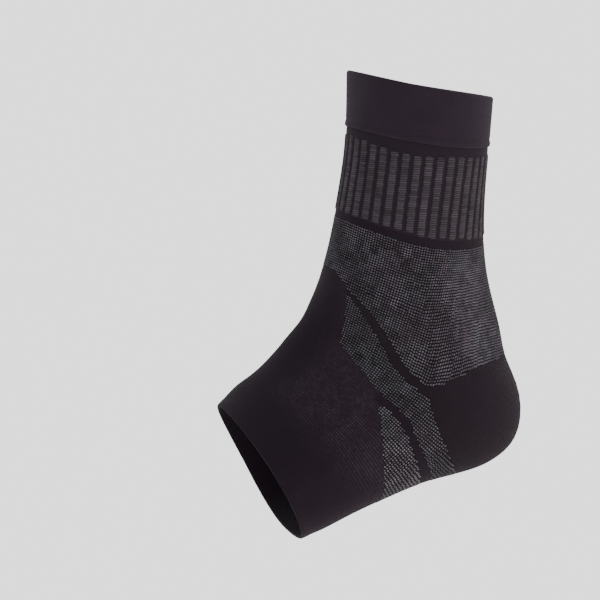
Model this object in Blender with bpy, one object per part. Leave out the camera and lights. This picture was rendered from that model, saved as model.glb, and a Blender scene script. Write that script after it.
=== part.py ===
"""Compression ankle sleeve for a left foot, knitted in zones as one open tube.

Metres. +Z runs up the leg, the toes point to -X, the outer side of the foot is -Y and
the origin is the centre of the ankle. The toe end and the top end are open.

The tube is lofted through sections that are numbered from 0 at the top rim. A place on
it is a section number, which may lie between two sections, and a turn: 0 at the front
of the leg, 1 at the heel and sole on the way round the outer side, 2 at the front again.
"""

import math

import bpy
import numpy as np

# Ankle and leg
LEG_RISE = 0.1355          # ankle centre up to the top rim
ANKLE_DEPTH = 0.074        # front to back, just above the ankle bones
ANKLE_WIDTH = 0.066        # side to side, just above the ankle bones

# Heel and instep
HEEL_REACH = 0.065         # ankle centre back to the heel
INSTEP_REACH = 0.068       # ankle centre to the instep, square to the heel line
HEEL_WIDTH = 0.070

# Foot
FOOT_REACH = 0.080         # ankle centre forward to the toe rim
FOOT_DROP = 0.067          # ankle centre down to the toe rim
FOOT_HEIGHT = 0.074        # instep to sole
FOOT_WIDTH = 0.088         # across the ball of the foot

# Knit
KNIT_WALL = 0.0014
HEEL_WALL = 0.0018
CUFF_WALL = 0.0024         # two layers
CUFF_PROUD = 0.0005        # the cuff's outer face above its neighbours
RIB_PROUD = 0.0006
SEAM_GAP = 0.0003          # between neighbouring zones

# Zones down the leg, measured from the top rim at the front
CUFF_HEIGHT = 0.0270
MARGIN_HEIGHT = 0.0060     # plain strip between the cuff and the ribs
RIB_HEIGHT = 0.0388
RIB_COUNT = 38
PLAIN_BAND_HEIGHT = 0.0033
RIM_BOW = 0.0010           # how far each edge dips at the sides of the leg
CUFF_BOW = 0.0020
RIB_BOW = 0.0043
BAND_BOW = 0.0049
TOE_BOW = 0.0022           # how far the toe rim draws back at the sides of the foot

# Sections from the top rim to the toe rim. up and back place a section's centre; tilt is how many
# degrees its rear dips; front, rear and half are its reach to the front, to the rear and to each side;
# round_front and round_rear are its fullness, 2 for an ellipse, less for a ridge, more for a box;
# ridge shifts the instep to the inner side and lift raises the inner sole, as shares of half;
# slant sets the outer side back. Lengths are shares of the sizes that follow each table's name.
LEG_SIZES = {
    "up": LEG_RISE, "back": ANKLE_DEPTH, "front": ANKLE_DEPTH, "rear": ANKLE_DEPTH, "half": ANKLE_WIDTH,
}
LEG_COLUMNS = ("up", "back", "tilt", "front", "rear", "half", "round_front", "round_rear")
LEG_SECTIONS = (
    (1.000, 0.060, 10.6, 0.514, 0.505, 0.553, 2.0, 2.0),
    (0.800, 0.045, 8.3, 0.503, 0.492, 0.530, 2.0, 2.0),
    (0.635, 0.015, 9.0, 0.503, 0.502, 0.508, 2.0, 2.0),
    (0.460, -0.030, 11.0, 0.514, 0.556, 0.492, 2.0, 1.9),
    (0.317, -0.057, 15.2, 0.542, 0.647, 0.500, 2.0, 1.75),
    (0.194, -0.057, 19.5, 0.603, 0.752, 0.523, 2.0, 1.6),
)

HEEL_SIZES = {
    "up": HEEL_REACH, "back": HEEL_REACH, "front": INSTEP_REACH, "rear": HEEL_REACH, "half": HEEL_WIDTH,
}
HEEL_COLUMNS = LEG_COLUMNS + ("ridge", "lift")
HEEL_SECTIONS = (
    (0.215, -0.035, 22.0, 0.740, 0.900, 0.507, 2.0, 1.6, 0.02, 0.00),
    (0.014, 0.015, 25.0, 0.860, 0.985, 0.507, 1.9, 1.8, 0.05, 0.00),
    (-0.200, 0.035, 29.0, 0.965, 1.000, 0.500, 1.8, 2.0, 0.08, 0.00),
    (-0.355, 0.000, 32.2, 1.010, 0.950, 0.493, 1.8, 2.2, 0.11, 0.00),
    (-0.486, -0.088, 35.5, 1.016, 0.855, 0.493, 1.8, 2.4, 0.14, 0.03),
    (-0.590, -0.210, 39.0, 0.985, 0.726, 0.500, 1.8, 2.6, 0.17, 0.08),
)

FOOT_SIZES = {
    "up": FOOT_DROP, "back": FOOT_REACH, "front": FOOT_HEIGHT, "rear": FOOT_HEIGHT, "half": FOOT_WIDTH,
}
FOOT_COLUMNS = HEEL_COLUMNS + ("slant",)
FOOT_SECTIONS = (
    (-0.643, -0.330, 44.5, 0.812, 0.565, 0.409, 1.8, 2.7, 0.19, 0.14, 0.00),
    (-0.755, -0.531, 52.7, 0.727, 0.503, 0.432, 1.8, 2.8, 0.21, 0.16, 0.01),
    (-0.850, -0.710, 58.8, 0.672, 0.478, 0.455, 1.8, 2.8, 0.20, 0.13, 0.02),
    (-0.920, -0.850, 62.0, 0.635, 0.470, 0.477, 1.8, 2.8, 0.19, 0.10, 0.04),
    (-1.000, -1.000, 63.5, 0.560, 0.442, 0.494, 1.9, 2.8, 0.16, 0.07, 0.06),
)

# Edges of the zones round the foot, the same on both sides: rows of (turn, section number)
STRAP_TURN = 0.172         # where the strap begins, at the instep
ARCH_TURN = 0.430          # where the arch panel begins
HEEL_TURN = 0.510          # the front corner of the heel pocket
MESH_EDGE = (
    (0.000, 4.79), (0.060, 4.83), (0.120, 4.97), (STRAP_TURN, 5.42), (0.240, 5.90), (0.300, 6.62),
    (0.375, 7.72), (0.430, 8.18), (HEEL_TURN, 8.28), (0.560, 7.66), (0.650, 6.98), (0.785, 6.37),
    (1.000, 5.80),
)
STRAP_TOP = (
    (0.000, 5.90), (0.120, 5.65), (STRAP_TURN, 5.66), (0.210, 6.08), (0.255, 6.72), (0.305, 7.47),
    (0.365, 8.26), (0.430, 8.66), (HEEL_TURN, 8.84), (0.575, 9.58), (0.655, 10.16), (0.750, 10.66),
    (0.835, 10.93), (1.000, 11.10),
)
STRAP_FOOT = (
    (0.000, 8.60), (0.120, 8.55), (STRAP_TURN, 8.66), (0.215, 8.98), (0.285, 9.45), (0.365, 9.92),
    (0.430, 10.12), (HEEL_TURN, 10.20), (0.560, 10.58), (0.650, 11.10), (0.840, 11.71), (1.000, 11.87),
)
ARCH_TOP = (
    (0.000, 10.50), (0.300, 10.38), (ARCH_TURN, 10.50), (HEEL_TURN, 10.66), (0.615, 11.23), (0.730, 11.71),
    (0.830, 12.00), (1.000, 12.15),
)
ARCH_FOOT = (
    (0.000, 11.10), (0.300, 10.90), (ARCH_TURN, 10.82), (HEEL_TURN, 11.52), (0.615, 12.24), (0.730, 12.75),
    (0.830, 13.08), (1.000, 13.36),
)

# How finely the faces are cut: columns on each side, as start turn, end turn and count, and rows in each zone
SIDE_COLUMNS = (
    (0.0, STRAP_TURN, 4),
    (STRAP_TURN, ARCH_TURN, 8),
    (ARCH_TURN, HEEL_TURN, 2),
    (HEEL_TURN, 1.0, 11),
)
CUFF_ROWS = 3
MESH_ROWS = 6
HEEL_ROWS = 8
STRAP_ROWS = 3
CHANNEL_ROWS = 1
ARCH_ROWS = 3
FOREFOOT_ROWS = 5
OUTLINE_STEPS = 240        # steps along half a section when its length is measured
SLOPE_STEP = 0.01          # step in turn or section number when a slope is measured

# Where a rib's crest and its foot end, as shares of the pitch from its middle
RIB_CREST_SHARE = 0.26
RIB_FOOT_SHARE = 0.36
RIB_RAMP = 0.0010          # how far down the ribs take to rise

# Colours, linear, and roughness
CUFF_COLOUR = (0.025, 0.018, 0.026)
RIB_COLOUR = (0.045, 0.038, 0.045)
BAND_COLOUR = (0.019, 0.014, 0.019)
MESH_COLOUR = (0.040, 0.033, 0.042)
STRAP_COLOUR = (0.048, 0.039, 0.045)
ARCH_COLOUR = (0.055, 0.045, 0.053)
PANEL_COLOUR = (0.016, 0.012, 0.016)
KNIT_ROUGHNESS = 0.85


def remove_old_objects():
    for old in list(bpy.data.objects):
        bpy.data.objects.remove(old)


def section_table():
    """One row a section, with the foot table's columns, lengths in metres and tilts in radians."""
    table = []
    for sizes, columns, rows in (
        (LEG_SIZES, LEG_COLUMNS, LEG_SECTIONS),
        (HEEL_SIZES, HEEL_COLUMNS, HEEL_SECTIONS),
        (FOOT_SIZES, FOOT_COLUMNS, FOOT_SECTIONS),
    ):
        for row in rows:
            values = dict.fromkeys(FOOT_COLUMNS, 0.0)
            values.update(zip(columns, row))
            for column, size in sizes.items():
                values[column] *= size
            values["tilt"] = math.radians(values["tilt"])
            table.append([values[column] for column in FOOT_COLUMNS])
    return np.array(table)


class Spline:
    """A natural cubic curve through rows of values, one row at each knot."""

    def __init__(self, knots, values):
        self.knots = np.asarray(knots, float)
        self.values = np.asarray(values, float)
        if self.values.ndim == 1:
            self.values = self.values[:, None]
        count = len(self.knots)
        step = np.diff(self.knots)
        matrix = np.eye(count)
        target = np.zeros_like(self.values)
        for i in range(1, count - 1):
            matrix[i, i - 1:i + 2] = step[i - 1], 2 * (step[i - 1] + step[i]), step[i]
            rise_after = (self.values[i + 1] - self.values[i]) / step[i]
            rise_before = (self.values[i] - self.values[i - 1]) / step[i - 1]
            target[i] = 6 * (rise_after - rise_before)
        self.bend = np.linalg.solve(matrix, target)

    def __call__(self, places):
        places = np.asarray(places, float)
        i = np.clip(np.searchsorted(self.knots, places) - 1, 0, len(self.knots) - 2)
        step = (self.knots[i + 1] - self.knots[i])[..., None]
        after = (places - self.knots[i])[..., None] / step
        before = 1 - after
        curve = (before ** 3 - before) * self.bend[i] + (after ** 3 - after) * self.bend[i + 1]
        return before * self.values[i] + after * self.values[i + 1] + curve * step ** 2 / 6


SECTIONS = section_table()
FORM = Spline(range(len(SECTIONS)), SECTIONS)
LAST = len(SECTIONS) - 1


def skin(stations, turns):
    """Points of the sleeve's outer face at section numbers and turns."""
    stations, turns = np.broadcast_arrays(stations, np.mod(turns, 2))
    outer = turns <= 1
    share = np.where(outer, turns, 2 - turns)
    side = np.where(outer, -1.0, 1.0)[..., None]
    columns = np.moveaxis(FORM(stations)[..., None, :], -1, 0)
    up, back, tilt, front, rear, half, round_front, round_rear, ridge, lift, slant = columns
    angle = np.linspace(0, math.pi, OUTLINE_STEPS)
    ahead, aside = np.cos(angle), np.sin(angle)
    power = np.where(ahead >= 0, 2 / round_front, 2 / round_rear)
    along = np.where(ahead >= 0, front, rear) * np.sign(ahead) * np.abs(ahead) ** power
    out = side * half * np.abs(aside) ** power
    out = out + ridge * half * np.clip(along / front, 0, 1)
    along = along + lift * half * np.clip(-along / rear, 0, 1) * (0.5 + 0.5 * out / half)
    step = np.hypot(np.diff(along), np.diff(out))
    length = np.concatenate([np.zeros(step.shape[:-1] + (1,)), np.cumsum(step, -1)], -1)
    wanted = share * length[..., -1]
    i = np.clip((length <= wanted[..., None]).sum(-1) - 1, 0, OUTLINE_STEPS - 2)[..., None]
    part = (wanted[..., None] - np.take_along_axis(length, i, -1)) / np.take_along_axis(step, i, -1)
    part = np.clip(part, 0, 1)

    def read(curve):
        return np.take_along_axis(curve, i, -1) * (1 - part) + np.take_along_axis(curve, i + 1, -1) * part

    along, out = read(along), read(out)
    x = back - along * np.cos(tilt) - slant * out
    z = up + along * np.sin(tilt)
    return np.stack([x[..., 0], out[..., 0], z[..., 0]], -1)


def slopes(stations, turns):
    """Metres moved for each unit of section number, and for each unit of turn."""
    down = (skin(stations + SLOPE_STEP, turns) - skin(stations - SLOPE_STEP, turns)) / (2 * SLOPE_STEP)
    round_ = (skin(stations, turns + SLOPE_STEP) - skin(stations, turns - SLOPE_STEP)) / (2 * SLOPE_STEP)
    return down, round_


def outward(stations, turns):
    down, round_ = slopes(stations, turns)
    normal = np.cross(down, round_)
    return normal / np.linalg.norm(normal, axis=-1, keepdims=True)


def middle_lengths():
    """Length down the sleeve to each section, halfway between its front and its rear line."""
    stations = np.arange(LAST + 1.0)
    front = np.linalg.norm(np.diff(skin(stations, 0.0), axis=0), axis=1)
    rear = np.linalg.norm(np.diff(skin(stations, 1.0), axis=0), axis=1)
    return np.concatenate([[0], np.cumsum((front + rear) / 2)])


LENGTHS = middle_lengths()


def leg_edge(distance, bow):
    """An edge round the leg, at a distance down from the top rim, dipping by bow at the sides."""
    def edge(turns):
        return np.interp(distance + bow * np.sin(math.pi * turns) ** 2, LENGTHS, np.arange(LAST + 1.0))
    return edge


def toe_edge(turns):
    drawn_back = LENGTHS[-1] - TOE_BOW * np.sin(math.pi * turns) ** 2
    return np.interp(drawn_back, LENGTHS, np.arange(LAST + 1.0))


def pattern_edge(rows, corner=None):
    """An edge through the rows of a pattern table, mirrored on the inner side.

    It has a sharp corner at one turn, or none.
    """
    rows = np.array(rows)
    if corner is None:
        runs = [rows]
    else:
        runs = [rows[rows[:, 0] <= corner], rows[rows[:, 0] >= corner]]
    splines = [Spline(run[:, 0], run[:, 1]) for run in runs]

    def edge(turns):
        share = np.where(turns <= 1, turns, 2 - turns)
        if corner is None:
            return splines[0](share)[..., 0]
        return np.where(share <= corner, splines[0](share)[..., 0], splines[1](share)[..., 0])
    return edge


top_rim = leg_edge(0.0, RIM_BOW)
cuff_foot = leg_edge(CUFF_HEIGHT, CUFF_BOW)
rib_top = leg_edge(CUFF_HEIGHT + MARGIN_HEIGHT, CUFF_BOW)
rib_foot = leg_edge(CUFF_HEIGHT + MARGIN_HEIGHT + RIB_HEIGHT, RIB_BOW)
band_foot = leg_edge(CUFF_HEIGHT + MARGIN_HEIGHT + RIB_HEIGHT + PLAIN_BAND_HEIGHT, BAND_BOW)
mesh_edge = pattern_edge(MESH_EDGE, HEEL_TURN)
strap_top = pattern_edge(STRAP_TOP, HEEL_TURN)
strap_foot = pattern_edge(STRAP_FOOT, HEEL_TURN)
arch_top = pattern_edge(ARCH_TOP)
arch_foot = pattern_edge(ARCH_FOOT)


def side_columns():
    """Turns of the columns from the front round the outer side to the back, and on round the inner side."""
    outer = []
    for start, end, count in SIDE_COLUMNS:
        outer += [start + (end - start) * i / count for i in range(count)]
    return np.array(outer + [1.0] + [2 - turn for turn in outer[:0:-1]])


def rib_columns():
    marks = (-RIB_FOOT_SHARE, -RIB_CREST_SHARE, RIB_CREST_SHARE, RIB_FOOT_SHARE)
    return np.array([(rib + mark) * 2 / RIB_COUNT for rib in range(RIB_COUNT) for mark in marks])


def rows_between(edges, counts, turns):
    """Section numbers on a grid of rows by columns, with counts[i] rows from edges[i] to the next edge."""
    rows = [edges[0](turns)]
    for upper, lower, count in zip(edges[:-1], edges[1:], counts):
        start, end = upper(turns), lower(turns)
        rows += [start + (end - start) * (i + 1) / count for i in range(count)]
    return np.array(rows)


def inset(stations, turns, cells):
    """Draws the open edges of a zone in by half the seam gap; the grid closes on itself round the sleeve."""
    rows, columns = stations.shape
    padded = np.zeros((rows + 1, columns), bool)
    padded[1:rows] = cells
    above_right, below_right = padded[:-1], padded[1:]
    above_left, below_left = np.roll(above_right, 1, 1), np.roll(below_right, 1, 1)
    downward = np.sign(below_left * 1 + below_right - above_left - above_right)
    onward = np.sign(above_right * 1 + below_right - above_left - below_left)
    down, round_ = slopes(stations, turns)
    points = skin(stations, turns)
    along_row = np.roll(points, -1, 1) - np.roll(points, 1, 1)
    down_length = np.linalg.norm(down, axis=-1)
    round_length = np.linalg.norm(round_, axis=-1)
    row_length = np.linalg.norm(along_row, axis=-1)
    lean = np.linalg.norm(np.cross(down, along_row), axis=-1) / (down_length * row_length)
    half_gap = SEAM_GAP / 2
    stations = stations + downward * half_gap / (down_length * lean)
    turns = turns + onward * half_gap / round_length
    return stations, turns


def add_zone(name, colour, stations, turns, cells, depth, proud=0.0):
    """Makes one knit zone from the marked cells of a grid.

    Its outer face stands proud of the sleeve's skin, and its inner face lies at a depth below the skin.
    """
    turns = np.broadcast_to(turns, stations.shape)
    rows, columns = stations.shape
    stations, turns = inset(stations, turns, cells)
    normal = outward(stations, turns)
    face = skin(stations, turns)
    outer = face + normal * np.broadcast_to(proud, stations.shape)[..., None]
    inner = face - normal * depth
    points, numbers, faces = [], {}, []

    def corner(layer, row, column):
        key = layer, row, column % columns
        if key not in numbers:
            numbers[key] = len(points)
            points.append((outer, inner)[layer][row, column % columns])
        return numbers[key]

    def filled(row, column):
        return 0 <= row < rows - 1 and cells[row, column % columns]

    for row in range(rows - 1):
        for column in range(columns):
            if not filled(row, column):
                continue
            ring = ((row, column), (row, column + 1), (row + 1, column + 1), (row + 1, column))
            faces.append([corner(0, *place) for place in ring][::-1])
            faces.append([corner(1, *place) for place in ring])
            beside = ((row - 1, column), (row, column + 1), (row + 1, column), (row, column - 1))
            for side, neighbour in enumerate(beside):
                if not filled(*neighbour):
                    start, end = ring[side], ring[(side + 1) % 4]
                    faces.append([corner(0, *start), corner(0, *end), corner(1, *end), corner(1, *start)])
    mesh = bpy.data.meshes.new(name)
    mesh.from_pydata([tuple(point) for point in points], [], faces)
    mesh.validate()
    mesh.shade_smooth()
    mesh.set_sharp_from_angle(angle=math.radians(35))
    mesh.materials.append(knit_material(name, colour))
    piece = bpy.data.objects.new(name, mesh)
    bpy.context.scene.collection.objects.link(piece)
    return piece


def knit_material(name, colour):
    material = bpy.data.materials.new(name + "_knit")
    material.use_nodes = True
    shader = material.node_tree.nodes["Principled BSDF"]
    shader.inputs["Base Color"].default_value = (*colour, 1)
    shader.inputs["Roughness"].default_value = KNIT_ROUGHNESS
    shader.inputs["Metallic"].default_value = 0
    return material


def whole_ring(stations):
    return np.ones((stations.shape[0] - 1, stations.shape[1]), bool)


def add_top_cuff():
    turns = side_columns()
    stations = rows_between((top_rim, cuff_foot), (CUFF_ROWS,), turns)
    depth = CUFF_WALL - CUFF_PROUD
    add_zone("top_cuff", CUFF_COLOUR, stations, turns, whole_ring(stations), depth, CUFF_PROUD)


def add_ribbed_band():
    turns = rib_columns()
    down_leg = CUFF_HEIGHT + MARGIN_HEIGHT + RIB_RAMP
    edges = (cuff_foot, rib_top, leg_edge(down_leg, CUFF_BOW), rib_foot)
    stations = rows_between(edges, (1, 1, 2), turns)
    crest = np.tile([0, RIB_PROUD, RIB_PROUD, 0], RIB_COUNT)
    proud = np.array([crest * 0, crest * 0, crest, crest, crest])
    add_zone("ribbed_band", RIB_COLOUR, stations, turns, whole_ring(stations), KNIT_WALL, proud)


def add_plain_band():
    turns = side_columns()
    stations = rows_between((rib_foot, band_foot), (1,), turns)
    add_zone("plain_band", BAND_COLOUR, stations, turns, whole_ring(stations), KNIT_WALL)


def add_ankle_mesh():
    turns = side_columns()
    stations = rows_between((band_foot, mesh_edge), (MESH_ROWS,), turns)
    add_zone("ankle_mesh", MESH_COLOUR, stations, turns, whole_ring(stations), KNIT_WALL)


def add_foot_zones():
    """The heel pocket, strap, arch panel and forefoot are cut from one grid, so that their edges match."""
    turns = side_columns()
    edges = (mesh_edge, strap_top, strap_foot, arch_top, arch_foot, toe_edge)
    counts = (HEEL_ROWS, STRAP_ROWS, CHANNEL_ROWS, ARCH_ROWS, FOREFOOT_ROWS)
    stations = rows_between(edges, counts, turns)
    ends = np.cumsum(counts)
    row = np.arange(ends[-1])[:, None]
    middle = (turns + np.roll(turns, -1)) / 2
    middle[-1] = (turns[-1] + 2) / 2
    share = np.minimum(middle, 2 - middle)[None]
    heel = (row < ends[0]) & (share > STRAP_TURN)
    strap = (row >= ends[0]) & (row < ends[1]) & (share > STRAP_TURN)
    arch = (row >= ends[2]) & (row < ends[3]) & (share > ARCH_TURN)
    forefoot = ~(heel | strap | arch)
    add_zone("heel_cup", PANEL_COLOUR, stations, turns, heel, HEEL_WALL)
    add_zone("stirrup_strap", STRAP_COLOUR, stations, turns, strap, KNIT_WALL)
    add_zone("arch_panel", ARCH_COLOUR, stations, turns, arch, KNIT_WALL)
    add_zone("forefoot_panel", PANEL_COLOUR, stations, turns, forefoot, KNIT_WALL)


remove_old_objects()
add_top_cuff()
add_ribbed_band()
add_plain_band()
add_ankle_mesh()
add_foot_zones()
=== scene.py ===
"""Compression ankle sleeve for a left foot, in the form it takes when worn, with the foot left out.

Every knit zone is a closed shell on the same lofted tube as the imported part. From the ankle down the
zones are cut from one lattice of stitches, so their edges step from stitch to stitch as in the knit.

Metres. +Z runs up the leg, the toes point to -X and the outer side of the foot is -Y. A place on the
sleeve is a section number, 0 at the top rim, and a turn: 0 at the front of the leg, 1 at the heel and
sole on the way round the outer side, 2 at the front again.
"""

import math

import bpy
import numpy as np
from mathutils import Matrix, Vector


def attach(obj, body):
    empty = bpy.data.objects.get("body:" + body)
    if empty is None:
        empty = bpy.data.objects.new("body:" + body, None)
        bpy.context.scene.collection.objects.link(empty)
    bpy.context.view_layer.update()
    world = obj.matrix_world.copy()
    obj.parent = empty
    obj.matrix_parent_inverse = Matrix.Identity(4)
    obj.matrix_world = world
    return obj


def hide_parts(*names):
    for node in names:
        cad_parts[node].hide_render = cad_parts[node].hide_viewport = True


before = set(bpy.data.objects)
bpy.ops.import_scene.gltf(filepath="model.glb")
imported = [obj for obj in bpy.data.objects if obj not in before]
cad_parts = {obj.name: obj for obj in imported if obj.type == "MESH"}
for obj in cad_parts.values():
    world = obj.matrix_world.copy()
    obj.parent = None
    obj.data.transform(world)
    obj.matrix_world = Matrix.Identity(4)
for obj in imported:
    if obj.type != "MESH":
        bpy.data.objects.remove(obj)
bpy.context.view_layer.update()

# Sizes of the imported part
LEG_RISE = 0.1355          # ankle centre up to the top rim
ANKLE_DEPTH = 0.074        # front to back, just above the ankle bones
ANKLE_WIDTH = 0.066        # side to side, just above the ankle bones
HEEL_REACH = 0.065         # ankle centre back to the heel
INSTEP_REACH = 0.068       # ankle centre to the instep, square to the heel line
HEEL_WIDTH = 0.070
FOOT_REACH = 0.080         # ankle centre forward to the toe rim
FOOT_DROP = 0.067          # ankle centre down to the toe rim
FOOT_HEIGHT = 0.074        # instep to sole
FOOT_WIDTH = 0.088         # across the ball of the foot
KNIT_WALL = 0.0014
HEEL_WALL = 0.0018
CUFF_WALL = 0.0024
CUFF_PROUD = 0.0005
RIB_PROUD = 0.0006
RIB_COUNT = 38

# Where zones begin, as lengths down the sleeve, and how far their edges dip at the sides of the leg
CUFF_FOOT = 0.0270
RIB_TOP = 0.0330
RIB_FOOT = 0.0718
BAND_FOOT = 0.0751
EDGE_LENGTHS = (0.0, CUFF_FOOT, RIB_TOP, RIB_FOOT, BAND_FOOT)
EDGE_BOWS = (0.0010, 0.0020, 0.0020, 0.0043, 0.0049)
TOE_BOW = -0.0022

# Sections from the top rim to the toe rim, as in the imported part. up and back place a section's centre;
# tilt is how many degrees its rear dips; front, rear and half are its reach; the two rounds are its
# fullness; ridge shifts the instep, lift raises the inner sole and slant sets the outer side back.
LEG_SIZES = {
    "up": LEG_RISE, "back": ANKLE_DEPTH, "front": ANKLE_DEPTH, "rear": ANKLE_DEPTH, "half": ANKLE_WIDTH,
}
LEG_COLUMNS = ("up", "back", "tilt", "front", "rear", "half", "round_front", "round_rear")
LEG_SECTIONS = (
    (1.000, 0.060, 10.6, 0.514, 0.505, 0.553, 2.0, 2.0),
    (0.800, 0.045, 8.3, 0.503, 0.492, 0.530, 2.0, 2.0),
    (0.635, 0.015, 9.0, 0.503, 0.502, 0.508, 2.0, 2.0),
    (0.460, -0.030, 11.0, 0.514, 0.556, 0.492, 2.0, 1.9),
    (0.317, -0.057, 15.2, 0.542, 0.647, 0.500, 2.0, 1.75),
    (0.194, -0.057, 19.5, 0.603, 0.752, 0.523, 2.0, 1.6),
)

HEEL_SIZES = {
    "up": HEEL_REACH, "back": HEEL_REACH, "front": INSTEP_REACH, "rear": HEEL_REACH, "half": HEEL_WIDTH,
}
HEEL_COLUMNS = LEG_COLUMNS + ("ridge", "lift")
HEEL_SECTIONS = (
    (0.215, -0.035, 22.0, 0.740, 0.900, 0.507, 2.0, 1.6, 0.02, 0.00),
    (0.014, 0.015, 25.0, 0.860, 0.985, 0.507, 1.9, 1.8, 0.05, 0.00),
    (-0.200, 0.035, 29.0, 0.965, 1.000, 0.500, 1.8, 2.0, 0.08, 0.00),
    (-0.355, 0.000, 32.2, 1.010, 0.950, 0.493, 1.8, 2.2, 0.11, 0.00),
    (-0.486, -0.088, 35.5, 1.016, 0.855, 0.493, 1.8, 2.4, 0.14, 0.03),
    (-0.590, -0.210, 39.0, 0.985, 0.726, 0.500, 1.8, 2.6, 0.17, 0.08),
)

FOOT_SIZES = {
    "up": FOOT_DROP, "back": FOOT_REACH, "front": FOOT_HEIGHT, "rear": FOOT_HEIGHT, "half": FOOT_WIDTH,
}
FOOT_COLUMNS = HEEL_COLUMNS + ("slant",)
FOOT_SECTIONS = (
    (-0.643, -0.330, 44.5, 0.812, 0.565, 0.409, 1.8, 2.7, 0.19, 0.14, 0.00),
    (-0.755, -0.531, 52.7, 0.727, 0.503, 0.432, 1.8, 2.8, 0.21, 0.16, 0.01),
    (-0.850, -0.710, 58.8, 0.672, 0.478, 0.455, 1.8, 2.8, 0.20, 0.13, 0.02),
    (-0.920, -0.850, 62.0, 0.635, 0.470, 0.477, 1.8, 2.8, 0.19, 0.10, 0.04),
    (-1.000, -1.000, 63.5, 0.560, 0.442, 0.494, 1.9, 2.8, 0.16, 0.07, 0.06),
)

# Edges of the zones round the foot, the same on both sides: rows of (turn, section number)
STRAP_TURN = 0.172         # where the strap begins, at the instep
ARCH_TURN = 0.430          # where the arch panel begins
HEEL_TURN = 0.510          # the front corner of the heel pocket
MESH_EDGE = (
    (0.000, 4.79), (0.060, 4.83), (0.120, 4.97), (STRAP_TURN, 5.42), (0.240, 5.90), (0.300, 6.62),
    (0.375, 7.72), (0.430, 8.18), (HEEL_TURN, 8.28), (0.560, 7.66), (0.650, 6.98), (0.785, 6.37),
    (1.000, 5.80),
)
STRAP_TOP = (
    (0.000, 5.90), (0.120, 5.65), (STRAP_TURN, 5.66), (0.210, 6.08), (0.255, 6.72), (0.305, 7.47),
    (0.365, 8.26), (0.430, 8.66), (HEEL_TURN, 8.84), (0.575, 9.58), (0.655, 10.16), (0.750, 10.66),
    (0.835, 10.93), (1.000, 11.10),
)
STRAP_FOOT = (
    (0.000, 8.60), (0.120, 8.55), (STRAP_TURN, 8.66), (0.215, 8.98), (0.285, 9.45), (0.365, 9.92),
    (0.430, 10.12), (HEEL_TURN, 10.20), (0.560, 10.58), (0.650, 11.10), (0.840, 11.71), (1.000, 11.87),
)
ARCH_TOP = (
    (0.000, 10.50), (0.300, 10.38), (ARCH_TURN, 10.50), (HEEL_TURN, 10.66), (0.615, 11.23), (0.730, 11.71),
    (0.830, 12.00), (1.000, 12.15),
)
ARCH_FOOT = (
    (0.000, 11.10), (0.300, 10.90), (ARCH_TURN, 10.82), (HEEL_TURN, 11.52), (0.615, 12.24), (0.730, 12.75),
    (0.830, 13.08), (1.000, 13.36),
)

# Stitches
WALE = 0.00142             # width of a stitch from the ankle down
RIB_COURSE = 0.00114
WALES_PER_RIB = 4
ZONE_GAP = 0.00004         # between neighbouring zones
STITCH_RELIEF = 0.00016    # how far a stitch's middle stands above its corners
STEPS = 2                  # grid steps to a stitch in the patterned zones

# Height of a stitch from the ankle down, in rows of (length down the sleeve, height)
COURSE_HEIGHTS = (
    (0.0751, 0.00140), (0.0900, 0.00148), (0.1050, 0.00170), (0.1250, 0.00182), (0.1450, 0.00176),
    (0.1650, 0.00156), (0.2540, 0.00150),
)

# How much further down the rows of stitches lie at the heel and sole than at the front, which fans them
# round the heel pocket; below 0 they lie higher. Rows of (length down the sleeve, how much further)
REAR_LEADS = (
    (0.0751, 0.0000), (0.0850, -0.0035), (0.1050, -0.0110), (0.1300, -0.0200), (0.1520, -0.0290),
    (0.1585, 0.0000), (0.1800, 0.0050), (0.2000, 0.0050), (0.2250, 0.0020), (0.2450, 0.0000),
)
FAN_START = 0.485          # the share of the way round from the front line where the rows begin to fan
FAN_SPREAD = 0.235         # the share over which most of the fan opens
FAN_POWER = 1.15           # how gently the fan sets in

# Heights that the faces take on the map that textures are baked through
OUTER_STRIP = (0.31, 0.995)
INNER_STRIP = (0.02, 0.29)
EDGE_STRIP = (0.005, 0.015)

# How finely the form is measured
OUTLINE_STEPS = 240        # steps along half a section
WALK_STEPS = 80            # steps along half a row when stitches are laid out on it
LENGTH_STEPS = 2000        # steps down the foot zones when their rows are laid out
NUDGE = 0.01               # step in turn or section number for a slope
CHUNK = 4000               # points handled at once

# Rounded edges
TOE_WELT = 0.0042          # height of the thicker welt at the toe rim
TOE_WELT_PROUD = 0.00030
RIM_ROWS = 8               # grid rows over a rounded rim
FOLD_ROUND = 0.0012        # the lower edge of the cuff
FOLD_SWELL = 0.0004        # how far the fold swells out
FOLD_SWELL_HEIGHT = 0.0016  # the middle of the swell, above the cuff's lower edge
FOLD_SWELL_SPREAD = 0.0018
SEAM_DEPTH = 0.00015       # the line of stitches that holds the fold
SEAM_HEIGHT = 0.0042       # the seam, above the cuff's lower edge
SEAM_SPREAD = 0.0007
CREASE_DEPTH = 0.0001      # how far the band below draws in under the fold
CREASE_SPREAD = 0.0010

# Columns over one rib: place in shares of the pitch, and height in shares of RIB_PROUD
RIB_COLUMNS = (
    (-0.50, 0.00), (-0.37, 0.06), (-0.30, 0.62), (-0.17, 0.95), (0.00, 1.00), (0.17, 0.95), (0.30, 0.62),
    (0.37, 0.06),
)
RIB_HALF = 0.30            # half the width of a rib's crest, as a share of the pitch
COURSE_DENT = 0.14         # how far a rib dips between courses, as a share of RIB_PROUD
RIB_END = 0.0009           # how far a rib takes to rise at its ends
RIB_CORNER = 0.0003        # how much later a rib's edges start than its middle
RIB_UNEVEN = 0.0005        # how far one rib starts before or after the next
RIB_FIRST_ROW = 0.0298     # where the first ribs start
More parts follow.
